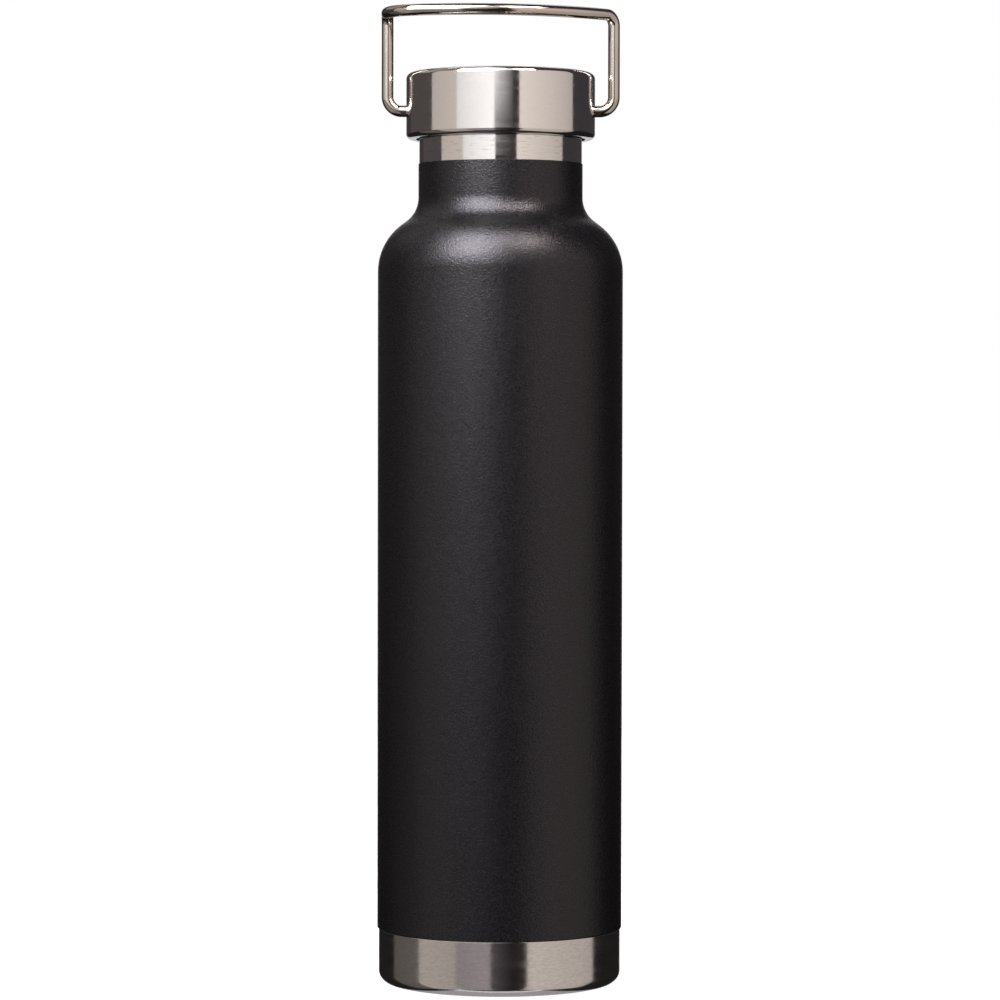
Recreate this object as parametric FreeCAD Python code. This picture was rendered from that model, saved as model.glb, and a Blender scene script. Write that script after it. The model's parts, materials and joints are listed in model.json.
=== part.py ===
"""Insulated water bottle: double-wall steel flask, screw lid and wire carrying handle.

Millimetres, +Z up. The origin is the centre of the base on the surface it stands on. The front
faces -Y and the handle's pivot axis lies along X. Sheet parts are turned from the line of one
face and a thickness. The lid is shown screwed down and the handle upright.
"""

import FreeCAD, Part
import math
import os

V = FreeCAD.Vector

# Outer flask: line of the bare steel's outside
OUTER_R = 36.3
OUTER_NECK_R = 24.25
OUTER_WALL = 0.4
SHOULDER_Z = 220.5          # where the body line meets the shoulder cone
SHOULDER_SLOPE = 53.3       # degrees between the cone and the axis
SHOULDER_BEND_R = 17.0
NECK_BEND_R = 9.1
LIP_Z = 262.5               # top of the drinking mouth
COAT = 0.2
COAT_TOP_Z = 244.0
STEP_Z = 16.5               # where the body steps in to take the base cup
STEP_RISE = 1.1

# Base cup and outer bottom
CUP_R = 36.05
CUP_WALL = 0.5
CUP_CORNER_R = 3.6
FOOT_INNER_R = 29.0
RECESS_Z = 2.0
BOTTOM_Z = 7.1              # upper face of the outer bottom
BOTTOM_RIM_Z = 4.2
DIMPLE = 1.2

# Inner flask: line of the outside of its wall
INNER_R = 31.2
INNER_WALL = 0.4
INNER_NECK_R = 22.0
INNER_SHOULDER_Z = 217.0
INNER_SLOPE = 50.0
INNER_FLOOR_Z = 12.0
INNER_SEAM_Z = 24.0
SHIELD = 0.1
SHIELD_TOP_Z = 207.0

# Screw thread, right-handed
PITCH = 5.0
THREAD_START_Z = 249.6      # lower end of the lid's rib
LID_TURNS = 1.75
MOUTH_TURNS = 2.25
PLUG_R = 20.2
RIB_CREST_R = 21.3
RIDGE_CREST_R = 20.6
THREAD_ROOT = 0.2           # depth that a rib is rooted into its wall
RUN_OUT_ANGLE = 24.0        # degrees over which a thread's end thins away
MOUTH_R = INNER_NECK_R - INNER_WALL

# Lid
LID_R = 28.15
LID_BOTTOM_Z = 251.3
LID_TOP_Z = 271.0
LID_WALL = 0.6
LID_EDGE_R = 1.6
LID_TOP_EDGE_R = 1.8
LID_LIP_R = 25.2
SKIRT_R = 24.7              # inside of the core's skirt, round the mouth
PLUG_BOTTOM_Z = 248.0
PLUG_INNER_R = 18.4
PLUG_CEILING_Z = 268.0
CAP_THICKNESS = 1.2
GASKET_THICKNESS = 2.5
GASKET_INNER_R = 19.95
GASKET_OUTER_R = 24.2
SEAT_R = 19.8

# Handle
WIRE_R = 1.75
PIVOT_Z = 259.7
LEG_X = 33.7
BAR_Z = 288.3
TIP_X = 25.3                # the wire's ends, inside the sockets
LOWER_BEND_R = 4.25
UPPER_BEND_R = 3.2
EASE_R = 12.0               # level bend from the left corner into the bow
BOW_R = 57.0
BOW_END_ANGLE = 44.0        # degrees forwards of the X axis where the bow meets the right corner
SOCKET_X = 25.1
SOCKET_R = WIRE_R + 0.08
SHELL_HOLE_R = WIRE_R + 0.2

GAP = 0.05                  # assembly gap between pieces of one body
SEAL_GAP = 0.1              # gap each side of the gasket


def point(r, z):
    """A place on a turned section, in the XZ plane."""
    return V(r, 0, z)


def rounded(corners, closed=False):
    """Edges of a line through (r, z, bend radius) corners, with tangent arcs at the bends."""
    count = len(corners)
    spans = []
    for index, (r, z, bend) in enumerate(corners):
        here = point(r, z)
        if bend == 0:
            spans.append((here, None, here))
            continue
        before = point(*corners[(index - 1) % count][:2])
        after = point(*corners[(index + 1) % count][:2])
        back = (before - here).normalize()
        on = (after - here).normalize()
        half = back.getAngle(on) / 2
        reach = bend / math.tan(half)
        middle = (back + on).normalize()
        centre = here + middle * (bend / math.sin(half))
        spans.append((here + back * reach, centre - middle * bend, here + on * reach))
    edges = []
    for index, (start, top, end) in enumerate(spans):
        if top is not None:
            edges.append(Part.Arc(start, top, end).toShape())
        if index + 1 < count or closed:
            following = spans[(index + 1) % count][0]
            if (following - end).Length > 1e-6:
                edges.append(Part.LineSegment(end, following).toShape())
    return edges


def offset(corners, distance):
    """The same line moved to its left by a distance, with its bend radii kept concentric."""
    lines = []
    for (r0, z0, _), (r1, z1, _) in zip(corners, corners[1:]):
        along = (point(r1, z1) - point(r0, z0)).normalize()
        left = point(-along.z, along.x)
        lines.append((point(r0, z0) + left * distance, along))
    moved = [(lines[0][0].x, lines[0][0].z, 0)]
    for index in range(1, len(lines)):
        (p, a), (q, b) = lines[index - 1], lines[index]
        turn = a.x * b.z - a.z * b.x
        step = ((q.x - p.x) * b.z - (q.z - p.z) * b.x) / turn
        corner = p + a * step
        bend = corners[index][2]
        if bend:
            bend -= distance if turn > 0 else -distance
        moved.append((corner.x, corner.z, bend))
    start, along = lines[-1]
    length = math.dist(corners[-2][:2], corners[-1][:2])
    end = start + along * length
    moved.append((end.x, end.z, 0))
    return moved


def turned(edges):
    """A closed section turned once round the Z axis."""
    wire = Part.Wire(Part.__sortEdges__(edges))
    solid = Part.Face(wire).revolve(V(0, 0, 0), V(0, 0, 1), 360)
    return Part.Solid(solid) if solid.ShapeType != "Solid" else solid


def turned_sheet(corners, thickness):
    """Sheet metal turned from the line of one face, its thickness on the line's left."""
    other = offset(corners, thickness)
    first = rounded(corners)
    second = rounded(other)
    ends = []
    for index in (0, -1):
        near = point(*corners[index][:2])
        far = point(*other[index][:2])
        ends.append(Part.LineSegment(near, far).toShape())
    return turned(first + second + ends)


def turned_block(corners):
    """A solid turned from a closed outline."""
    return turned(rounded(corners, closed=True))


def neck_corner_z(shoulder_z, slope, body_r, neck_r):
    """Height where a shoulder cone meets its neck."""
    return shoulder_z + (body_r - neck_r) / math.tan(math.radians(slope))


def lip_bend_r():
    """Radius of the rolled mouth lip, half the width between the flask's two necks."""
    return (OUTER_NECK_R - MOUTH_R) / 2


def build_outer_wall():
    neck_z = neck_corner_z(SHOULDER_Z, SHOULDER_SLOPE, OUTER_R, OUTER_NECK_R)
    foot_r = CUP_R - CUP_WALL - GAP
    return turned_sheet([
        (foot_r, BOTTOM_RIM_Z, 0),
        (foot_r, STEP_Z + 0.1, 0.6),
        (OUTER_R, STEP_Z + STEP_RISE, 0.6),
        (OUTER_R, SHOULDER_Z, SHOULDER_BEND_R),
        (OUTER_NECK_R, neck_z, NECK_BEND_R),
        (OUTER_NECK_R, LIP_Z, lip_bend_r()),
        (OUTER_NECK_R - lip_bend_r(), LIP_Z, 0),
    ], OUTER_WALL)


def build_powder_coat():
    neck_z = neck_corner_z(SHOULDER_Z, SHOULDER_SLOPE, OUTER_R, OUTER_NECK_R)
    steel = [
        (OUTER_R, STEP_Z, 0),
        (OUTER_R, SHOULDER_Z, SHOULDER_BEND_R),
        (OUTER_NECK_R, neck_z, NECK_BEND_R),
        (OUTER_NECK_R, COAT_TOP_Z, 0),
    ]
    return turned_sheet(offset(steel, -COAT), COAT)


def build_base_cup():
    line = [
        (0, RECESS_Z, 0),
        (FOOT_INNER_R - 1.0, RECESS_Z, 1.4),
        (FOOT_INNER_R + 1.0, 0, 1.4),
        (CUP_R, 0, CUP_CORNER_R),
        (CUP_R, STEP_Z - GAP, 0),
    ]
    return turned_sheet(line, CUP_WALL)


def build_outer_bottom():
    rim_r = CUP_R - CUP_WALL - OUTER_WALL - 2 * GAP
    return turned_sheet([
        (rim_r, BOTTOM_RIM_Z, 0),
        (rim_r, BOTTOM_Z, 1.5),
        (5.0, BOTTOM_Z, 0.8),
        (3.4, BOTTOM_Z + DIMPLE, 0.8),
        (0.8, BOTTOM_Z + DIMPLE, 0),
    ], OUTER_WALL)


def build_vacuum_seal():
    """Glass bead that closes the vent hole in the dimple of the outer bottom."""
    seat = BOTTOM_Z + DIMPLE - OUTER_WALL - GAP
    dome = Part.Arc(point(0, seat - 0.9), point(1.6, seat - 0.6), point(2.5, seat)).toShape()
    rest = [(2.5, seat), (0.75, seat), (0.75, seat + 0.9), (0, seat + 0.9), (0, seat - 0.9)]
    lines = [Part.LineSegment(point(*a), point(*b)).toShape() for a, b in zip(rest, rest[1:])]
    return turned([dome] + lines)


def run_out(root_r, crest_r, side):
    """Wedge that thins the end of a thread, from its root at angle zero to its full height."""
    sweep = math.radians(RUN_OUT_ANGLE) * side
    far_r = crest_r + 2 * (crest_r - root_r)
    places = [(root_r, 0), (crest_r, sweep), (far_r, sweep), (far_r, -0.2 * sweep), (root_r, -0.2 * sweep)]
    corners = [V(r * math.cos(angle), r * math.sin(angle), -0.4 * PITCH) for r, angle in places]
    return Part.Face(Part.makePolygon(corners + corners[:1])).extrude(V(0, 0, 0.86 * PITCH))


def threaded(wall, wall_r, crest_r, turns, start_z, base, crest):
    """A wall with a helical rib of trapezoid section, rising anticlockwise seen from above."""
    root_r = wall_r - math.copysign(THREAD_ROOT, crest_r - wall_r)
    helix = Part.makeHelix(PITCH, PITCH * turns, root_r)
    helix.translate(V(0, 0, start_z))
    corners = [
        point(root_r, start_z - base / 2),
        point(crest_r, start_z - crest / 2),
        point(crest_r, start_z + crest / 2),
        point(root_r, start_z + base / 2),
    ]
    section = Part.makePolygon(corners + corners[:1])
    rib = Part.Wire(helix).makePipeShell([section], True, True)
    lower = run_out(root_r, crest_r, 1)
    lower.translate(V(0, 0, start_z))
    upper = run_out(root_r, crest_r, -1)
    upper.rotate(V(0, 0, 0), V(0, 0, 1), 360 * turns)
    upper.translate(V(0, 0, start_z + PITCH * turns))
    return wall.fuse(rib.cut([lower, upper]).Solids)


def build_inner_wall():
    neck_z = neck_corner_z(INNER_SHOULDER_Z, INNER_SLOPE, INNER_R, INNER_NECK_R)
    crest_r = MOUTH_R + lip_bend_r()
    line = [
        (INNER_R - INNER_WALL, INNER_SEAM_Z, 0),
        (INNER_R - INNER_WALL, INNER_SHOULDER_Z, 14.0),
        (MOUTH_R, neck_z, 9.0),
        (MOUTH_R, LIP_Z, lip_bend_r()),
        (crest_r, LIP_Z, 0),
    ]
    wall = turned_sheet(line, -INNER_WALL)
    return threaded(wall, MOUTH_R, RIDGE_CREST_R, MOUTH_TURNS, THREAD_START_Z - PITCH / 2, 2.5, 1.2)


def build_inner_bottom():
    line = [
        (0, INNER_FLOOR_Z + 1.6, 0),
        (20.0, INNER_FLOOR_Z, 30.0),
        (INNER_R, INNER_FLOOR_Z, 8.0),
        (INNER_R, INNER_SEAM_Z, 0),
    ]
    return turned_sheet(line, INNER_WALL)


def build_copper_shield():
    inner = INNER_R + GAP
    return turned_sheet([(inner + SHIELD, INNER_SEAM_Z, 0), (inner + SHIELD, SHIELD_TOP_Z, 0)], SHIELD)


def build_getter():
    pellet = Part.makeCylinder(4.0, 1.8, V(15.0, 0, BOTTOM_Z + GAP))
    return pellet.makeFillet(0.4, [edge for edge in pellet.Edges if edge.Closed])


def build_lid_gasket():
    bottom = LIP_Z + SEAL_GAP
    top = bottom + GASKET_THICKNESS
    return turned_block([
        (GASKET_INNER_R, bottom, 0.3),
        (GASKET_OUTER_R, bottom, 0.6),
        (GASKET_OUTER_R, top, 0.3),
        (GASKET_INNER_R, top, 0.3),
    ])


def cross_bore(radius, reach):
    """Two cylinders on the pivot axis, running outwards from a distance each side of the lid."""
    bores = []
    for side in (-1, 1):
        bores.append(Part.makeCylinder(radius, 10, V(side * reach, 0, PIVOT_Z), V(side, 0, 0)))
    return bores


def build_lid_shell():
    line = [
        (LID_LIP_R, LID_BOTTOM_Z, 0),
        (LID_R, LID_BOTTOM_Z, LID_EDGE_R),
        (LID_R, LID_TOP_Z, LID_TOP_EDGE_R),
        (0, LID_TOP_Z, 0),
    ]
    shell = turned_sheet(line, LID_WALL)
    return shell.cut(cross_bore(SHELL_HOLE_R, LID_R - 3.0))


def build_lid_core():
    """Moulded core: a disc under the shell, a skirt round the mouth and the threaded plug."""
    side_r = LID_R - LID_WALL - GAP
    bottom = LID_BOTTOM_Z + LID_WALL + GAP
    top = LID_TOP_Z - LID_WALL - GAP
    ceiling = LIP_Z + GASKET_THICKNESS + 2 * SEAL_GAP
    seat_z = LIP_Z - 0.3
    core = turned_block([
        (0, top, 0),
        (0, PLUG_CEILING_Z, 0),
        (PLUG_INNER_R, PLUG_CEILING_Z, 1.0),
        (PLUG_INNER_R, PLUG_BOTTOM_Z, 0),
        (PLUG_R, PLUG_BOTTOM_Z, 0),
        (PLUG_R, seat_z, 0.2),
        (SEAT_R, seat_z, 0),
        (SEAT_R, ceiling, 0),
        (SKIRT_R, ceiling, 0.6),
        (SKIRT_R, bottom, 0.5),
        (side_r, bottom, LID_EDGE_R - LID_WALL - GAP),
        (side_r, top, 1.4),
    ])
    core = threaded(core, PLUG_R, RIB_CREST_R, LID_TURNS, THREAD_START_Z, 2.8, 1.3)
    return core.cut(cross_bore(SOCKET_R, SOCKET_X))


def build_lid_insulation():
    radius = PLUG_INNER_R - 0.1
    bottom = PLUG_BOTTOM_Z + 2.0
    disc = Part.makeCylinder(radius, PLUG_CEILING_Z - 0.1 - bottom, V(0, 0, bottom))
    return disc.makeFillet(1.2, [edge for edge in disc.Edges if edge.Closed])


def build_plug_cap():
    """Disc welded into the open end of the plug, with a spigot that keeps the foam in."""
    spigot_r = PLUG_INNER_R - GAP
    under = PLUG_BOTTOM_Z - GAP
    return turned_block([
        (0, under - CAP_THICKNESS, 0),
        (PLUG_R, under - CAP_THICKNESS, 0.8),
        (PLUG_R, under, 0),
        (spigot_r, under, 0),
        (spigot_r, PLUG_BOTTOM_Z + 1.8, 0),
        (0, PLUG_BOTTOM_Z + 1.8, 0),
    ])


def bend(start, along, end, out, radius):
    """Quarter-turn arc between two straight runs that meet at right angles."""
    centre = start + out * radius
    middle = centre + (along - out).normalize() * radius
    return Part.Arc(start, middle, end).toShape()


def leg(side, along_bar):
    """Edges from one tip of the wire up to the start of the bar, and that start."""
    up = V(0, 0, 1)
    out = V(side, 0, 0)
    tip = V(side * TIP_X, 0, PIVOT_Z)
    elbow = V(side * (LEG_X - LOWER_BEND_R), 0, PIVOT_Z)
    foot = V(side * LEG_X, 0, PIVOT_Z + LOWER_BEND_R)
    head = V(side * LEG_X, 0, BAR_Z - UPPER_BEND_R)
    bar_start = V(side * LEG_X, 0, BAR_Z) + along_bar * UPPER_BEND_R
    return [
        Part.LineSegment(tip, elbow).toShape(),
        bend(elbow, out, foot, up, LOWER_BEND_R),
        Part.LineSegment(foot, head).toShape(),
        bend(head, up, bar_start, along_bar, UPPER_BEND_R),
    ], bar_start


def level_place(centre, radius, angle):
    """A place on a level arc, at an angle to the right of straight forwards."""
    return centre + V(math.sin(angle), -math.cos(angle), 0) * radius


def handle_path():
    """Centreline from the left tip, up the leg, along the skewed bar and down to the right tip.

    The bar leaves the left leg straight forwards, turns into its bow, and comes back to the right
    leg at a slant.
    """
    slant = math.radians(BOW_END_ANGLE)
    left, left_start = leg(-1, V(0, -1, 0))
    right, bow_end = leg(1, V(-math.cos(slant), -math.sin(slant), 0))
    bow_centre = level_place(bow_end, -BOW_R, slant)
    ease_x = EASE_R - LEG_X
    lean = math.asin((ease_x - bow_centre.x) / (BOW_R - EASE_R))
    ease_centre = level_place(bow_centre, BOW_R - EASE_R, lean)
    ease_start = level_place(ease_centre, EASE_R, -math.pi / 2)
    bow_start = level_place(bow_centre, BOW_R, lean)
    ease_middle = level_place(ease_centre, EASE_R, (lean - math.pi / 2) / 2)
    bow_middle = level_place(bow_centre, BOW_R, (slant + lean) / 2)
    bar = [
        Part.LineSegment(left_start, ease_start).toShape(),
        Part.Arc(ease_start, ease_middle, bow_start).toShape(),
        Part.Arc(bow_start, bow_middle, bow_end).toShape(),
    ]
    return Part.Wire(Part.__sortEdges__(left + bar + right))


def build_handle_wire():
    section = Part.Wire(Part.makeCircle(WIRE_R, V(-TIP_X, 0, PIVOT_Z), V(1, 0, 0)))
    return handle_path().makePipeShell([section], True, False)


NODES = {
    "outer_wall": build_outer_wall,
    "powder_coat": build_powder_coat,
    "base_cup": build_base_cup,
    "outer_bottom": build_outer_bottom,
    "vacuum_seal": build_vacuum_seal,
    "inner_wall": build_inner_wall,
    "inner_bottom": build_inner_bottom,
    "copper_shield": build_copper_shield,
    "getter": build_getter,
    "lid_gasket": build_lid_gasket,
    "lid_shell": build_lid_shell,
    "lid_core": build_lid_core,
    "lid_insulation": build_lid_insulation,
    "plug_cap": build_plug_cap,
    "handle_wire": build_handle_wire,
}


def main():
    os.makedirs("parts", exist_ok=True)
    for name, build in NODES.items():
        shape = build()
        shape.exportStep(f"parts/{name}.step")
        print(f"{name:16s} {len(shape.Solids)} solid  valid {shape.isValid()}  {shape.Volume:10.1f} mm3")


main()
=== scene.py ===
"""Looks of the insulated water bottle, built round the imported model. Metres, +Z up, front -Y."""

import json
import math

import bpy
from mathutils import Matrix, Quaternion, Vector, kdtree


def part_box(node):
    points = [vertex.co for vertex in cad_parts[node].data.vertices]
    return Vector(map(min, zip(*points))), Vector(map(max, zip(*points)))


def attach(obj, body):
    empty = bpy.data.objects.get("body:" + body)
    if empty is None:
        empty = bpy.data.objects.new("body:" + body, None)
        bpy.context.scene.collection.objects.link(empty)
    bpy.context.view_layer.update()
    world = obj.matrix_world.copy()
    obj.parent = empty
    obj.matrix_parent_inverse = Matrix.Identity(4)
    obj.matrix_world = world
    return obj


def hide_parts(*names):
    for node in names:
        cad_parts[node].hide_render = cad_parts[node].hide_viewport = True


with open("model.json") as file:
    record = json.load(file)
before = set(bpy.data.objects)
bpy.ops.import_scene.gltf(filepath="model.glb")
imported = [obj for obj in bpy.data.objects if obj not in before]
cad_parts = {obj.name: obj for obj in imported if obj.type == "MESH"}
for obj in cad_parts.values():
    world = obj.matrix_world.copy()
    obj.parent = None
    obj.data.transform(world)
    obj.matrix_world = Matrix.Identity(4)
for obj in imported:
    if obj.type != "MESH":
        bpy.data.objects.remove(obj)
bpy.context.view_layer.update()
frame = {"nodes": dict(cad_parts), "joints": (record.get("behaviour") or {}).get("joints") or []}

MM = 0.001
ROUND_STEPS = 288           # facets round a turned piece
ARC_STEP = math.radians(5)  # longest turn between two points of a section's bend
SHEET_EDGE = 0.12           # rounding of a cut sheet edge, in mm
ON_AXIS = 1e-6              # a point nearer the axis than this, in mm, is one point and not a ring
SAME_PLACE = 1e-6           # metres between points that a cut has left where they were


def extent(node):
    """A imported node's lowest and highest place and its reach along X, in mm."""
    low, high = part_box(node)
    return low.z / MM, high.z / MM, high.x / MM


# Sections, in mm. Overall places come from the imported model.
COAT_LOW, COAT_TOP, COAT_R = extent("powder_coat")
COAT = 0.2                  # the coat's thickness
WALL_R = COAT_R - COAT
WALL = 0.4                  # the outer wall's thickness
WALL_LOW, LIP_Z, BODY_R = extent("outer_wall")
NECK_R = 24.25
MOUTH_R = 21.6
SHOULDER_Z = 220.5
SHOULDER_SLOPE = 53.3
SHOULDER_BEND = 17.0
NECK_BEND = 9.1
NECK_CORNER_Z = SHOULDER_Z + (WALL_R - NECK_R) / math.tan(math.radians(SHOULDER_SLOPE))
_, CUP_TOP, CUP_R = extent("base_cup")
CUP_WALL = 0.5
CUP_CORNER = 3.6
CUP_RIM_ROUND = 0.36
SLEEVE_GAP = 0.05
SLEEVE_R = CUP_R - CUP_WALL - SLEEVE_GAP  # the wall's foot, inside the base cup
STEP_LOW = 0.15             # the wall widens above the cup, between these two heights over its rim
STEP_HIGH = 1.1
STEP_BEND = 0.6
FOOT_R = 29.0               # middle of the slope between the foot ring and the recess inside it
FOOT_SLOPE = 1.0            # half that slope's width
FOOT_BEND = 1.4
RECESS_Z = 2.0
OUTLINE_R = 30.0            # nominal radius that marks round the bottle are sized at
LID_LOW, LID_TOP, LID_R = extent("lid_shell")
LID_WALL = 0.6
LID_EDGE = 1.6
LID_TOP_EDGE = 1.8
LID_LIP_R = 25.2
GASKET_LOW, GASKET_TOP, GASKET_R = extent("lid_gasket")
GASKET_INNER_R = 19.95
GASKET_INNER_BEND = 0.35
GASKET_LOW_BEND = 0.6
GASKET_TOP_BEND = 0.45

# Handle, in mm
WIRE_R = 1.75
_, HANDLE_TOP, HANDLE_REACH = extent("handle_wire")
LEG_X = HANDLE_REACH - WIRE_R
BAR_Z = HANDLE_TOP - WIRE_R
PIVOT_Z = next(joint["pos_m"][2] for joint in frame["joints"] if joint["name"] == "handle_swing") / MM
TIP_X = 25.3
TIP_ROUND = 0.4
HOLE_R = 1.95
LOWER_BEND = 4.25
UPPER_BEND = 3.2
EASE_BEND = 12.0            # level bend from the left corner into the bow
BOW_R = 57.0
BOW_END = math.radians(44)  # how far forwards of the X axis the bow meets the right corner
WIRE_SIDES = 48
WIRE_STEP = math.radians(3)
END_STEPS = 5
BORE_STEPS = 96

# Studio, in metres and degrees, with the lens and its sensor in mm
CAMERA_DISTANCE = 1.1767
CAMERA_HEIGHT = 0.1688
CAMERA_DIP = 1.21
CAMERA_ROLL = 0.10
CAMERA_LENS = 141.95
CAMERA_SENSOR = 36.0
SOFTBOX_DISTANCE = 0.9
CARD_WIDTH = 0.095
CARD_Z = -0.05
FLOOR_SIZE = 60
WHITE = (0.98, 0.98, 1.0)
LILAC = (1.0, 0.89, 0.97)
LAVENDER = (0.94, 0.90, 1.0)
BEIGE = (1.0, 0.905, 0.845)
BROWN = (1.0, 0.9, 0.82)
ROOM_LOW = (0.015, 0.013, 0.014)
ROOM_HIGH = (0.052, 0.045, 0.049)
STEEL = (0.74, 0.71, 0.68)


# ---------------------------------------------------------------- sections

def section(corners, closed=True):
    """Points of an outline with rounded corners, each (r, z, normal r, normal z).

    corners are (r, z, bend radius), walked with the solid on the left. An open outline starts and
    ends on the axis.
    """
    points = []
    count = len(corners)
    for index, (r, z, bend) in enumerate(corners):
        here = Vector((r, z))
        if not closed and index in (0, count - 1):
            other = Vector(corners[1 if index == 0 else -2][:2])
            along = (other - here if index == 0 else here - other).normalized()
            points.append((r, z, along.y, -along.x))
            continue
        back = (Vector(corners[index - 1][:2]) - here).normalized()
        ahead = (Vector(corners[(index + 1) % count][:2]) - here).normalized()
        half = back.angle(ahead) / 2
        centre = here + (back + ahead).normalized() * (bend / math.sin(half))
        reach = bend / math.tan(half)
        turn = math.pi - 2 * half
        outward = 1 if back.x * ahead.y - back.y * ahead.x < 0 else -1
        start = here + back * reach - centre
        steps = max(2, math.ceil(turn / ARC_STEP))
        for step in range(steps + 1):
            angle = outward * turn * step / steps
            spoke = Vector((start.x * math.cos(angle) - start.y * math.sin(angle),
                            start.x * math.sin(angle) + start.y * math.cos(angle)))
            place = centre + spoke
            normal = spoke.normalized() * outward
            points.append((place.x, place.y, normal.x, normal.y))
    return points


def offset(corners, distance):
    """A line of corners moved to its left, with its bends kept concentric."""
    lines = []
    for (r0, z0, _), (r1, z1, _) in zip(corners, corners[1:]):
        along = (Vector((r1, z1)) - Vector((r0, z0))).normalized()
        left = Vector((-along.y, along.x))
        lines.append((Vector((r0, z0)) + left * distance, along, Vector((r1, z1)) + left * distance))
    moved = [(lines[0][0].x, lines[0][0].y, corners[0][2])]
    for index in range(1, len(lines)):
        start, along, _ = lines[index - 1]
        onward, heading, _ = lines[index]
        turn = along.x * heading.y - along.y * heading.x
        gap = (onward.x - start.x) * heading.y - (onward.y - start.y) * heading.x
        corner = start + along * (gap / turn)
        bend = corners[index][2] - (distance if turn > 0 else -distance)
        moved.append((corner.x, corner.y, bend))
    moved.append((lines[-1][2].x, lines[-1][2].y, corners[-1][2]))
    return moved


def sheet(corners, thickness):
    """Outline of sheet metal whose thickness lies to the left of a line of corners."""
    return corners + offset(corners, thickness)[::-1]


# ---------------------------------------------------------------- meshes

def smooth_object(name, verts, faces, normals):
    """An object with the given mesh and one exact normal for each of its points."""
    mesh = bpy.data.meshes.new(name)
    mesh.from_pydata(verts, [], faces)
    mesh.validate()
    mesh.shade_smooth()
    mesh.normals_split_custom_set_from_vertices(normals)
    piece = bpy.data.objects.new(name, mesh)
    bpy.context.scene.collection.objects.link(piece)
    return piece


def turned(name, points, closed=True):
    """A solid of revolution with the exact normals of its section."""
    verts, normals, faces, rings = [], [], [], []
    for r, z, nr, nz in points:
        if r < ON_AXIS:
            rings.append([len(verts)] * ROUND_STEPS)
            verts.append((0, 0, z * MM))
            normals.append((0, 0, math.copysign(1, nz)))
            continue
        rings.append(range(len(verts), len(verts) + ROUND_STEPS))
        for step in range(ROUND_STEPS):
            turn = math.tau * step / ROUND_STEPS
            x, y = math.cos(turn), math.sin(turn)
            verts.append((r * x * MM, r * y * MM, z * MM))
            normals.append((nr * x, nr * y, nz))
    pairs = list(zip(rings, rings[1:])) + ([(rings[-1], rings[0])] if closed else [])
    for low, high in pairs:
        for step in range(ROUND_STEPS):
            on = (step + 1) % ROUND_STEPS
            face = [low[step], low[on], high[on], high[step]]
            faces.append(list(dict.fromkeys(face)))
    return smooth_object(name, verts, faces, normals)


def bored(piece, radius, height):
    """Cuts the two wire holes through the lid's side and keeps the exact normals of the rest."""
    mesh = piece.data
    known = kdtree.KDTree(len(mesh.vertices))
    exact = {}
    for loop in mesh.loops:
        exact[loop.vertex_index] = loop.normal.copy()
    for vert in mesh.vertices:
        known.insert(vert.co, vert.index)
    known.balance()
    bpy.ops.mesh.primitive_cylinder_add(vertices=BORE_STEPS, radius=radius, depth=4 * LID_R * MM,
                                        location=(0, 0, height), rotation=(0, math.pi / 2, 0))
    drill = bpy.context.object
    cut = piece.modifiers.new("bore", "BOOLEAN")
    cut.operation, cut.solver, cut.object = "DIFFERENCE", "EXACT", drill
    bpy.context.view_layer.update()
    result = bpy.data.meshes.new_from_object(piece.evaluated_get(bpy.context.evaluated_depsgraph_get()))
    piece.modifiers.clear()
    bpy.data.objects.remove(drill)
    piece.data = result
    result.shade_smooth()
    normals = [None] * len(result.loops)
    for polygon in result.polygons:
        for loop in polygon.loop_indices:
            co = result.vertices[result.loops[loop].vertex_index].co
            out = Vector((co.x, co.y, 0)).normalized()
            _, index, distance = known.find(co)
            # A bore's wall lies on its circle and faces neither outwards nor along the bore.
            at_bore = math.hypot(co.y, co.z - height) < radius * 1.01
            faces_bore = abs(polygon.normal.dot(out)) < 0.5 and abs(polygon.normal.x) < 0.1
            if at_bore and faces_bore:
                normals[loop] = -Vector((0, co.y, co.z - height)).normalized()
            elif distance < SAME_PLACE:
                normals[loop] = exact[index]
            else:
                normals[loop] = out * math.copysign(1, polygon.normal.dot(out))
    result.normals_split_custom_set(normals)
    return piece


def arc(centre, start, heading, radius, angle):
    """Places and headings along an arc. start points from the centre to the arc's first point."""
    steps = max(2, math.ceil(angle / WIRE_STEP))
    line = []
    for step in range(steps + 1):
        turn = angle * step / steps
        line.append((centre + (start * math.cos(turn) + heading * math.sin(turn)) * radius,
                     heading * math.cos(turn) - start * math.sin(turn)))
    return line


def leg_line(side, along_bar):
    """The wire from one tip to the top of its leg, turned towards the bar."""
    out, up = Vector((side, 0, 0)), Vector((0, 0, 1))
    line = [(Vector((side * TIP_X, 0, PIVOT_Z)), out)]
    foot = Vector((side * (LEG_X - LOWER_BEND), 0, PIVOT_Z + LOWER_BEND))
    line += arc(foot, -up, out, LOWER_BEND, math.pi / 2)
    corner = Vector((side * LEG_X, 0, BAR_Z - UPPER_BEND)) + along_bar * UPPER_BEND
    return line + arc(corner, -along_bar, up, UPPER_BEND, math.pi / 2)


def level_spoke(angle):
    """A level direction, at an angle to the right of straight forwards."""
    return Vector((math.sin(angle), -math.cos(angle), 0))


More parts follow.
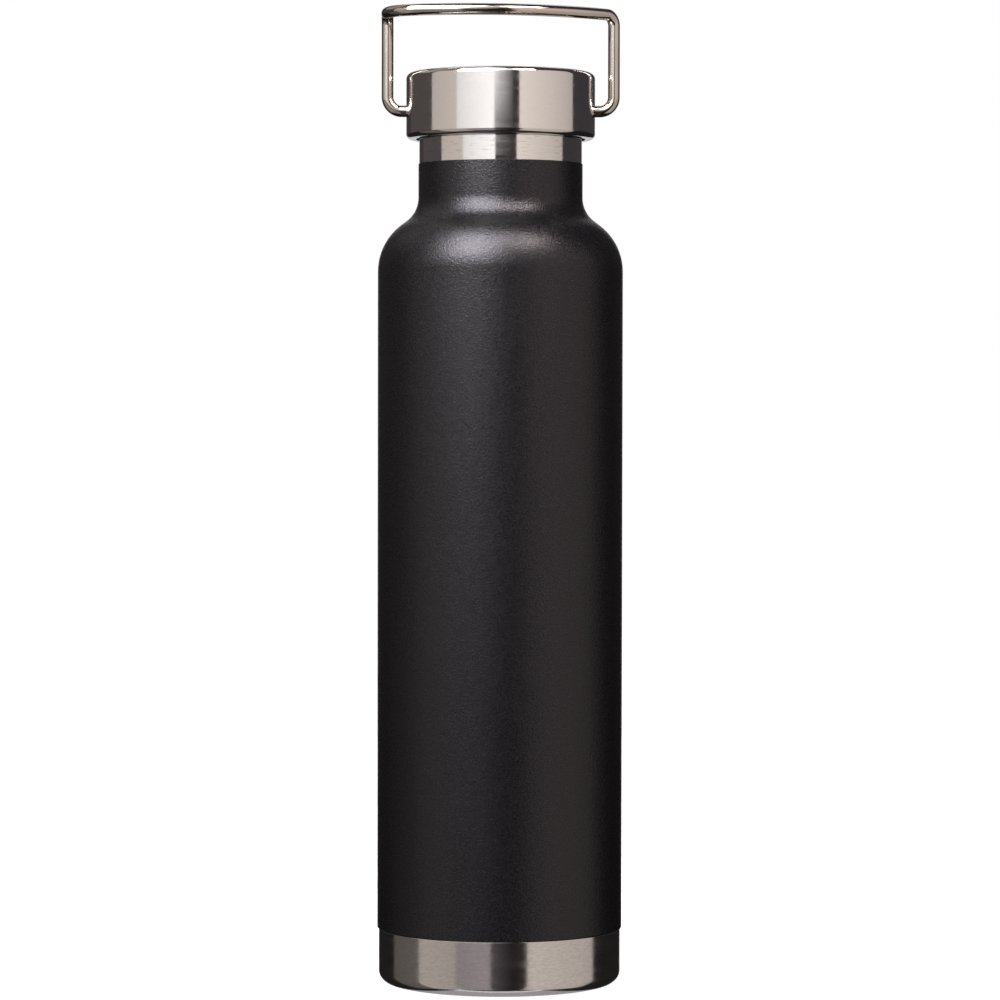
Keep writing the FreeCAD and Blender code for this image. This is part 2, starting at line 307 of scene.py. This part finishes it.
def handle_line():
    """Places and headings along the wire, from its left tip to its right tip, in mm.

    The bar leaves the left leg straight forwards, bends into its bow and meets the right leg at a
    slant.
    """
    left = leg_line(-1, Vector((0, -1, 0)))
    right = leg_line(1, Vector((-math.cos(BOW_END), -math.sin(BOW_END), 0)))
    bow_centre = right[-1][0] - level_spoke(BOW_END) * BOW_R
    lean = math.asin((EASE_BEND - LEG_X - bow_centre.x) / (BOW_R - EASE_BEND))
    ease_centre = bow_centre + level_spoke(lean) * (BOW_R - EASE_BEND)
    line = left + arc(ease_centre, Vector((-1, 0, 0)), Vector((0, -1, 0)), EASE_BEND,
                      lean + math.pi / 2)
    ahead = Vector((math.cos(lean), math.sin(lean), 0))
    line += arc(bow_centre, level_spoke(lean), ahead, BOW_R, BOW_END - lean)[1:]
    return line + [(place, -along) for place, along in right[:-1]][::-1]


def wire_tip(place, along, outward):
    """Stations of the wire's rounded end. outward is 1 at the end of the line and -1 at its start."""
    stations = []
    for step in range(END_STEPS + 1):
        lean = math.pi / 2 * step / END_STEPS
        back = TIP_ROUND * (1 - math.sin(lean))
        ring = WIRE_R - TIP_ROUND * (1 - math.cos(lean))
        stations.append((place - along * back * outward, along, ring, lean * outward))
    return stations[::outward]


def wire(name, line):
    """The round wire along a line of places and headings in mm, with rounded ends.

    Each station is a place, a heading, the ring's radius and how far its normals lean ahead.
    """
    stations = wire_tip(*line[0], -1)
    stations += [(place, along, WIRE_R, 0.0) for place, along in line[1:-1]]
    stations += wire_tip(*line[-1], 1)
    verts, normals, faces = [], [], []
    side = Vector((0, 1, 0))
    for place, along, ring, lean in stations:
        side = (side - along * side.dot(along)).normalized()
        up = along.cross(side)
        for step in range(WIRE_SIDES):
            turn = math.tau * step / WIRE_SIDES
            spoke = side * math.cos(turn) + up * math.sin(turn)
            verts.append((place + spoke * ring) * MM)
            normals.append(spoke * math.cos(lean) + along * math.sin(lean))
    for station in range(len(stations) - 1):
        for step in range(WIRE_SIDES):
            on = (step + 1) % WIRE_SIDES
            low, high = station * WIRE_SIDES, (station + 1) * WIRE_SIDES
            faces.append([low + step, low + on, high + on, high + step])
    faces.append(list(range(WIRE_SIDES))[::-1])
    faces.append(list(range(len(verts) - WIRE_SIDES, len(verts))))
    return smooth_object(name, verts, faces, normals)


# ---------------------------------------------------------------- materials

class Finish:
    """A material and short calls to build its nodes. Lengths in its noises are in metres."""

    def __init__(self, name, metallic=0.0, roughness=0.5):
        self.material = bpy.data.materials.new(name)
        self.material.use_nodes = True
        self.tree = self.material.node_tree
        self.surface = self.tree.nodes["Principled BSDF"]
        self.set(Metallic=metallic, Roughness=roughness)
        self.place = self.node("ShaderNodeTexCoord").outputs["Object"]

    def node(self, kind, inputs=None, **values):
        made = self.tree.nodes.new(kind)
        for name, value in values.items():
            setattr(made, name, value)
        for name, value in (inputs or {}).items():
            self.feed(made.inputs[name], value)
        return made

    def feed(self, socket, value):
        if isinstance(value, bpy.types.NodeSocket):
            self.tree.links.new(value, socket)
        else:
            socket.default_value = value

    def set(self, **values):
        for name, value in values.items():
            self.feed(self.surface.inputs[name.replace("_", " ")], value)

    def math(self, operation, first, second=0.0):
        return self.node("ShaderNodeMath", {0: first, 1: second}, operation=operation).outputs[0]

    def noise(self, size, detail=2.0, vector=None, rough=0.5):
        """Noise whose features measure about size metres."""
        made = self.node("ShaderNodeTexNoise", {"Vector": vector or self.place, "Scale": 1 / size,
                                                "Detail": detail, "Roughness": rough})
        return made.outputs["Fac"]

    def between(self, fac, low, high, start=0.3, end=0.7):
        """A value that goes from low to high as fac goes from start to end."""
        made = self.node("ShaderNodeMapRange", {"Value": fac, "From Min": start, "From Max": end,
                                                "To Min": low, "To Max": high})
        return made.outputs["Result"]

    def reach(self):
        """Distance from the Z axis."""
        parts = self.node("ShaderNodeSeparateXYZ", {0: self.place}).outputs
        square = self.math("ADD", self.math("MULTIPLY", parts["X"], parts["X"]),
                           self.math("MULTIPLY", parts["Y"], parts["Y"]))
        return self.math("SQRT", square)

    def colours(self, fac, *stops):
        ramp = self.node("ShaderNodeValToRGB", {"Fac": fac})
        elements = ramp.color_ramp.elements
        while len(elements) < len(stops):
            elements.new(0.5)
        for element, (position, colour) in zip(elements, stops):
            element.position = position
            element.color = (*colour, 1)
        return ramp.outputs["Color"]

    def bump(self, height, depth, before=None):
        """Adds relief of about depth metres, on top of another bump."""
        inputs = {"Height": height, "Distance": depth, "Strength": 1.0}
        if before is not None:
            inputs["Normal"] = before
        return self.node("ShaderNodeBump", inputs).outputs["Normal"]

    def round_axis(self, around, across, slope=-1.0):
        """Coordinates for marks that run round the Z axis.

        around and across are the size of a mark along and across its run. slope is -1 on an outline
        that rises as it closes in, and 1 on one that rises as it widens.
        """
        parts = self.node("ShaderNodeSeparateXYZ", {0: self.place}).outputs
        radius = self.math("MAXIMUM", self.reach(), 1e-5)
        girth = OUTLINE_R * MM / around
        climb = self.math("ADD", parts["Z"], self.math("MULTIPLY", radius, slope))
        made = self.node("ShaderNodeCombineXYZ", {
            "X": self.math("MULTIPLY", self.math("DIVIDE", parts["X"], radius), girth),
            "Y": self.math("MULTIPLY", self.math("DIVIDE", parts["Y"], radius), girth),
            "Z": self.math("DIVIDE", climb, across)})
        return made.outputs["Vector"]


def powder_coat():
    """Satin black with a fine orange-peel grain, whose shine varies from grain to grain."""
    f = Finish("coat_black")
    grain = f.noise(0.50 * MM, 1.5)
    fine = f.noise(0.24 * MM, 1.0)
    speck = f.between(f.noise(0.46 * MM, 1.0), 0.20, 0.38)
    cloud = f.between(f.noise(30 * MM, 2.0), 0.0, 0.02)
    f.set(Base_Color=f.colours(grain, (0.3, (0.0016, 0.0015, 0.0017)),
                               (0.7, (0.0036, 0.0033, 0.0037))),
          Roughness=f.math("ADD", speck, cloud), Specular_Tint=(0.98, 0.92, 1.0, 1.0),
          Normal=f.bump(fine, 0.034 * MM, f.bump(grain, 0.125 * MM)))
    return f.material


def darker(colour, share):
    """A colour with a share of its brightness taken away."""
    return tuple((1 - share) * part for part in colour)


def polished_steel(name, shine, line_depth, mottle, slope=-1.0,
                   mark=(1.3 * MM, 0.5 * MM), bare=0.6):
    """Mirror-polished steel with the faint lines that turning and buffing leave round it.

    mottle is how much darker the steel's short marks are than the steel, and mark is their length and
    width. bare is the noise value from which there is no mark: the lower it is, the fewer there are.
    """
    f = Finish(name, metallic=1.0)
    lines = f.noise(1.0, 2.0, f.round_axis(14 * MM, 0.16 * MM, slope))
    haze = f.noise(1.0, 3.0, f.round_axis(9 * MM, 1.6 * MM, slope))
    marks = f.noise(1.0, 2.0, f.round_axis(*mark, slope))
    f.set(Base_Color=f.colours(marks, (bare - 0.2, darker(STEEL, mottle)), (bare, STEEL)),
          Roughness=f.between(haze, shine, shine + 0.06),
          Normal=f.bump(lines, line_depth))
    return f.material


def brushed_steel():
    """Satin inside faces, with short random marks."""
    f = Finish("steel_satin", metallic=1.0)
    marks = f.noise(1.0, 3.0, f.round_axis(5 * MM, 0.3 * MM))
    cloud = f.noise(9 * MM, 3.0)
    f.set(Base_Color=f.colours(cloud, (0.3, darker(STEEL, 0.14)), (0.7, STEEL)),
          Roughness=f.between(marks, 0.24, 0.40),
          Normal=f.bump(marks, 0.006 * MM))
    return f.material


def wire_steel():
    f = Finish("wire_bright", metallic=1.0)
    scuff = f.noise(1.6 * MM, 3.0)
    tint = f.noise(10 * MM, 2.0)
    f.set(Base_Color=f.colours(tint, (0.3, (0.53, 0.48, 0.42)), (0.7, (0.60, 0.55, 0.49))),
          Roughness=f.between(scuff, 0.09, 0.12),
          Normal=f.bump(scuff, 0.0003 * MM))
    return f.material


def copper_foil():
    f = Finish("copper_foil", metallic=1.0)
    creases = f.noise(7 * MM, 4.0, rough=0.6)
    cloud = f.noise(16 * MM, 3.0)
    f.set(Base_Color=f.colours(cloud, (0.3, (0.66, 0.31, 0.18)), (0.7, (0.86, 0.47, 0.31))),
          Roughness=f.between(creases, 0.22, 0.42),
          Normal=f.bump(creases, 0.25 * MM))
    return f.material


def getter_metal():
    f = Finish("getter_grey", metallic=0.8)
    grit = f.noise(0.3 * MM, 3.0)
    f.set(Base_Color=f.colours(grit, (0.3, (0.20, 0.19, 0.19)), (0.7, (0.38, 0.37, 0.36))),
          Roughness=f.between(grit, 0.55, 0.75),
          Normal=f.bump(grit, 0.05 * MM))
    return f.material


def solder_glass():
    f = Finish("glass_bead")
    swirl = f.noise(1.2 * MM, 3.0)
    f.set(Base_Color=f.colours(swirl, (0.3, (0.03, 0.045, 0.04)), (0.7, (0.09, 0.12, 0.11))),
          Roughness=f.between(swirl, 0.06, 0.14),
          Normal=f.bump(swirl, 0.02 * MM))
    return f.material


def silicone():
    f = Finish("silicone_pale")
    dust = f.noise(0.8 * MM, 3.0)
    f.set(Base_Color=f.colours(dust, (0.3, (0.62, 0.61, 0.59)), (0.7, (0.73, 0.72, 0.70))),
          Roughness=f.between(dust, 0.48, 0.60),
          Normal=f.bump(dust, 0.010 * MM),
          Subsurface_Weight=0.15, Subsurface_Scale=0.002)
    return f.material


def moulded_plastic():
    f = Finish("moulded_black")
    texture = f.noise(0.35 * MM, 2.0)
    flow = f.noise(18 * MM, 2.0)
    f.set(Base_Color=f.colours(flow, (0.3, (0.020, 0.020, 0.021)), (0.7, (0.030, 0.030, 0.031))),
          Roughness=f.between(texture, 0.40, 0.55),
          Normal=f.bump(texture, 0.018 * MM))
    return f.material


def foam():
    f = Finish("foam_cream")
    cell = f.node("ShaderNodeTexVoronoi", {"Vector": f.place, "Scale": 1 / (0.9 * MM)})
    cells = cell.outputs["Distance"]
    f.set(Base_Color=f.colours(cells, (0.1, (0.70, 0.67, 0.58)), (0.6, (0.86, 0.84, 0.77))),
          Roughness=f.between(cells, 0.75, 0.9),
          Normal=f.bump(cells, 0.15 * MM))
    return f.material


# ---------------------------------------------------------------- pieces

def coat_skin():
    line = [
        (WALL_R, COAT_LOW, SHEET_EDGE),
        (WALL_R, SHOULDER_Z, SHOULDER_BEND),
        (NECK_R, NECK_CORNER_Z, NECK_BEND),
        (NECK_R, COAT_TOP, SHEET_EDGE),
    ]
    return turned("coat_skin", section(offset(line, -COAT) + line[::-1]))


def flask_shell():
    lip_bend = (NECK_R - MOUTH_R) / 2
    line = [
        (SLEEVE_R, WALL_LOW, SHEET_EDGE),
        (SLEEVE_R, CUP_TOP + STEP_LOW, STEP_BEND),
        (BODY_R, CUP_TOP + STEP_HIGH, STEP_BEND),
        (BODY_R, SHOULDER_Z, SHOULDER_BEND),
        (NECK_R, NECK_CORNER_Z, NECK_BEND),
        (NECK_R, LIP_Z, lip_bend),
        (NECK_R - lip_bend, LIP_Z, SHEET_EDGE),
    ]
    return turned("flask_shell", section(sheet(line, WALL)))


def base_band():
    line = [
        (0, RECESS_Z, 0),
        (FOOT_R - FOOT_SLOPE, RECESS_Z, FOOT_BEND),
        (FOOT_R + FOOT_SLOPE, 0, FOOT_BEND),
        (CUP_R, 0, CUP_CORNER),
        (CUP_R, CUP_TOP, CUP_RIM_ROUND),
    ]
    inside = offset(line, CUP_WALL)
    inside[-1] = (*inside[-1][:2], SHEET_EDGE)
    return turned("base_band", section(line + inside[::-1], closed=False), closed=False)


def lid_cap():
    line = [
        (LID_LIP_R, LID_LOW, SHEET_EDGE),
        (LID_R, LID_LOW, LID_EDGE),
        (LID_R, LID_TOP, LID_TOP_EDGE),
        (0, LID_TOP, 0),
    ]
    outline = offset(line, LID_WALL)[::-1] + line
    points = section(outline, closed=False)
    return bored(turned("lid_cap", points, closed=False), HOLE_R * MM, PIVOT_Z * MM)


def gasket_ring():
    return turned("gasket_ring", section([
        (GASKET_INNER_R, GASKET_LOW, GASKET_INNER_BEND),
        (GASKET_R, GASKET_LOW, GASKET_LOW_BEND),
        (GASKET_R, GASKET_TOP, GASKET_TOP_BEND),
        (GASKET_INNER_R, GASKET_TOP, GASKET_INNER_BEND),
    ]))


def add(piece, body, node, material):
    """Puts a new piece on its body in place of its CAD node."""
    piece.data.materials.clear()
    piece.data.materials.append(material)
    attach(piece, body)
    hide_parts(node)


def refinish(node, material):
    """Gives a CAD node that stays a new material."""
    mesh = frame["nodes"][node].data
    mesh.materials.clear()
    mesh.materials.append(material)


def build_bottle():
    bright = polished_steel("steel_bright", 0.07, 0.0012 * MM, mottle=0.02)
    lined = polished_steel("steel_lined", 0.06, 0.0032 * MM, mottle=0.25,
                           mark=(4.0 * MM, 0.35 * MM), bare=0.44)
    band = polished_steel("steel_band", 0.11, 0.0030 * MM, mottle=0.09, slope=1.0)
    satin = brushed_steel()
    plastic = moulded_plastic()
    add(coat_skin(), "flask", "powder_coat", powder_coat())
    add(flask_shell(), "flask", "outer_wall", lined)
    add(base_band(), "flask", "base_cup", band)
    add(lid_cap(), "lid", "lid_shell", bright)
    handle = wire("wire_handle", handle_line())
    add(handle, "handle", "handle_wire", wire_steel())
    add(gasket_ring(), "seal", "lid_gasket", silicone())
    for node in ("inner_wall", "inner_bottom", "outer_bottom"):
        refinish(node, satin)
    for node in ("lid_core", "plug_cap"):
        refinish(node, plastic)
    refinish("copper_shield", copper_foil())
    refinish("getter", getter_metal())
    refinish("vacuum_seal", solder_glass())
    refinish("lid_insulation", foam())


# ---------------------------------------------------------------- studio

def bearing(azimuth, distance, height):
    """A place round the bottle. Azimuth is in degrees from the camera, to the right as it sees it."""
    turn = math.radians(azimuth)
    return Vector((math.sin(turn) * distance, -math.cos(turn) * distance, height))


def softbox(name, azimuths, heights, radiance, tint):
    """An upright soft light between two azimuths and two heights, facing the bottle's axis.

    radiance is its brightness at its left and right edges, as the camera side sees them.
    """
    middle = sum(azimuths) / 2
    half = math.radians((azimuths[1] - azimuths[0]) / 2)
    width = 2 * SOFTBOX_DISTANCE * math.tan(half)
    height = heights[1] - heights[0]
    place = bearing(middle, SOFTBOX_DISTANCE, sum(heights) / 2)
    lamp(name, place, -Vector((place.x, place.y, 0)), width, height, radiance, tint)


def lamp(name, place, facing, width, height, radiance, tint):
    """A rectangular area light that no camera sees, with an even fade from edge to edge."""
    data = bpy.data.lights.new(name, "AREA")
    data.shape = "RECTANGLE"
    data.size, data.size_y = width, height
    data.energy = width * height * math.pi
    data.color = tint
    data.use_nodes = True
    tree = data.node_tree
    across = tree.nodes.new("ShaderNodeSeparateXYZ")
    tree.links.new(tree.nodes.new("ShaderNodeNewGeometry").outputs["Parametric"], across.inputs[0])
    fade = tree.nodes.new("ShaderNodeMapRange")
    tree.links.new(across.outputs["X"], fade.inputs["Value"])
    fade.inputs["To Min"].default_value, fade.inputs["To Max"].default_value = radiance
    tree.links.new(fade.outputs["Result"], tree.nodes["Emission"].inputs["Strength"])
    light = bpy.data.objects.new(name, data)
    light.location = place
    light.rotation_euler = facing.to_track_quat("-Z", "Y").to_euler()
    light.visible_camera = False
    bpy.context.scene.collection.objects.link(light)


def overhead(name, azimuth, elevation, size, radiance, tint, distance):
    """A soft light above the bottle that faces its shoulder."""
    rise = math.radians(elevation)
    target = Vector((0, 0, SHOULDER_Z * MM))
    place = bearing(azimuth, distance * math.cos(rise), target.z + distance * math.sin(rise))
    lamp(name, place, target - place, size[0], size[1], (radiance, radiance), tint)


def card(name, azimuth, distance, depth, radiance, tint):
    """A soft light just under the bottle that faces up at its foot."""
    place = bearing(azimuth, distance, CARD_Z)
    lamp(name, place, Vector((0, 0, 1)), CARD_WIDTH, depth, (radiance, radiance), tint)


def build_lights():
    """Panels round the bottle, upper ones for the lid, neck and shoulder and low ones for the rest.

    Every panel shows as a band in the steel, so their edges are those of the bands.
    """
    softbox("key_left", (-54, -7.5), (0.17, 0.95), (0.90, 1.36), WHITE)
    softbox("key_left_fade", (-7.5, 15), (0.328, 0.95), (1.15, 0.05), WHITE)
    softbox("key_left_low", (-41, -8), (-1.0, 0.15), (0.27, 0.35), LILAC)
    softbox("key_left_low_fade", (-8, 12), (-1.0, 0.15), (0.07, 0.0), LILAC)
    softbox("side_left", (-91, -54), (0.17, 0.95), (0.54, 0.64), BEIGE)
    softbox("side_left_low", (-81, -41), (-1.0, 0.15), (0.46, 0.41), BEIGE)
    softbox("far_left", (-140, -91), (0.17, 0.95), (0.035, 0.035), BROWN)
    softbox("far_left_low", (-118, -81), (-1.0, 0.15), (0.10, 0.12), BROWN)
    softbox("side_right", (22.3, 97), (0.17, 0.95), (0.94, 0.49), BEIGE)
    softbox("side_right_low", (26, 99), (-1.0, 0.17), (0.66, 0.48), BEIGE)
    softbox("rear", (166, 194), (-0.30, 0.80), (0.60, 0.60), WHITE)
    overhead("top_left", -31, 43, (0.37, 0.46), 12.2, WHITE, 0.5)
    overhead("top_middle", 9, 46, (0.32, 0.24), 1.0, WHITE, 0.5)
    overhead("top_far_left", -120, 45, (0.40, 0.40), 0.35, BEIGE, 0.6)
    overhead("top_right", 36, 51, (0.15, 0.13), 22.0, BEIGE, 0.5)
    overhead("top_rear", 180, 50, (0.45, 0.30), 1.2, WHITE, 0.8)
    card("card_front", 0, 0.0585, 0.015, 0.80, WHITE)
    card("card_below", 180, 0.037, 0.176, 0.42, LAVENDER)


def build_floor():
    """A pale floor that glows, a little more further out, and is clear from below.

    It is left out of the bottle's reflections and shade.
    """
    bpy.ops.mesh.primitive_plane_add(size=FLOOR_SIZE, location=(0, 0, 0))
    floor = bpy.context.object
    floor.name = "floor"
    floor.visible_glossy = False
    floor.visible_diffuse = False
    floor.visible_shadow = False
    f = Finish("pale_floor", roughness=0.9)
    tone = f.noise(0.4, 2.0)
    f.set(Base_Color=f.colours(tone, (0.3, (0.80, 0.80, 0.80)), (0.7, (0.82, 0.82, 0.82))),
          Emission_Color=(1, 1, 1, 1), Emission_Strength=f.between(f.reach(), 0.86, 1.0, 0.15, 0.75))
    clear = f.node("ShaderNodeBsdfTransparent")
    back = f.node("ShaderNodeNewGeometry").outputs["Backfacing"]
    mix = f.node("ShaderNodeMixShader", {0: back, 1: f.surface.outputs[0], 2: clear.outputs[0]})
    f.feed(f.tree.nodes["Material Output"].inputs["Surface"], mix.outputs[0])
    floor.data.materials.append(f.material)


def build_world():
    """White behind the bottle, and a dim room in what it reflects."""
    world = bpy.data.worlds.new("studio")
    bpy.context.scene.world = world
    world.use_nodes = True
    tree = world.node_tree
    tree.nodes.clear()
    room = tree.nodes.new("ShaderNodeBackground")
    towards = tree.nodes.new("ShaderNodeSeparateXYZ")
    tree.links.new(tree.nodes.new("ShaderNodeTexCoord").outputs["Generated"], towards.inputs[0])
    rise = tree.nodes.new("ShaderNodeMapRange")
    rise.inputs["From Min"].default_value, rise.inputs["From Max"].default_value = -0.10, 0.05
    tree.links.new(towards.outputs["Z"], rise.inputs["Value"])
    shade = tree.nodes.new("ShaderNodeValToRGB")
    tree.links.new(rise.outputs["Result"], shade.inputs["Fac"])
    shade.color_ramp.elements[0].color = (*ROOM_LOW, 1)
    shade.color_ramp.elements[1].color = (*ROOM_HIGH, 1)
    tree.links.new(shade.outputs["Color"], room.inputs["Color"])
    paper = tree.nodes.new("ShaderNodeBackground")
    paper.inputs["Color"].default_value = (1, 1, 1, 1)
    seen = tree.nodes.new("ShaderNodeLightPath")
    mix = tree.nodes.new("ShaderNodeMixShader")
    out = tree.nodes.new("ShaderNodeOutputWorld")
    tree.links.new(seen.outputs["Is Camera Ray"], mix.inputs[0])
    tree.links.new(room.outputs[0], mix.inputs[1])
    tree.links.new(paper.outputs[0], mix.inputs[2])
    tree.links.new(mix.outputs[0], out.inputs["Surface"])


def build_camera():
    data = bpy.data.cameras.new("camera")
    data.lens, data.sensor_width = CAMERA_LENS, CAMERA_SENSOR
    camera = bpy.data.objects.new("camera", data)
    camera.location = bearing(0, CAMERA_DISTANCE, CAMERA_HEIGHT)
    dip = math.radians(CAMERA_DIP)
    facing = Vector((0, math.cos(dip), -math.sin(dip)))
    roll = Quaternion((0, 0, 1), math.radians(CAMERA_ROLL))
    camera.rotation_euler = (facing.to_track_quat("-Z", "Y") @ roll).to_euler()
    bpy.context.scene.collection.objects.link(camera)
    bpy.context.scene.camera = camera


build_camera()
build_bottle()
build_world()
build_floor()
build_lights()
bpy.context.scene.view_settings.view_transform = "Standard"
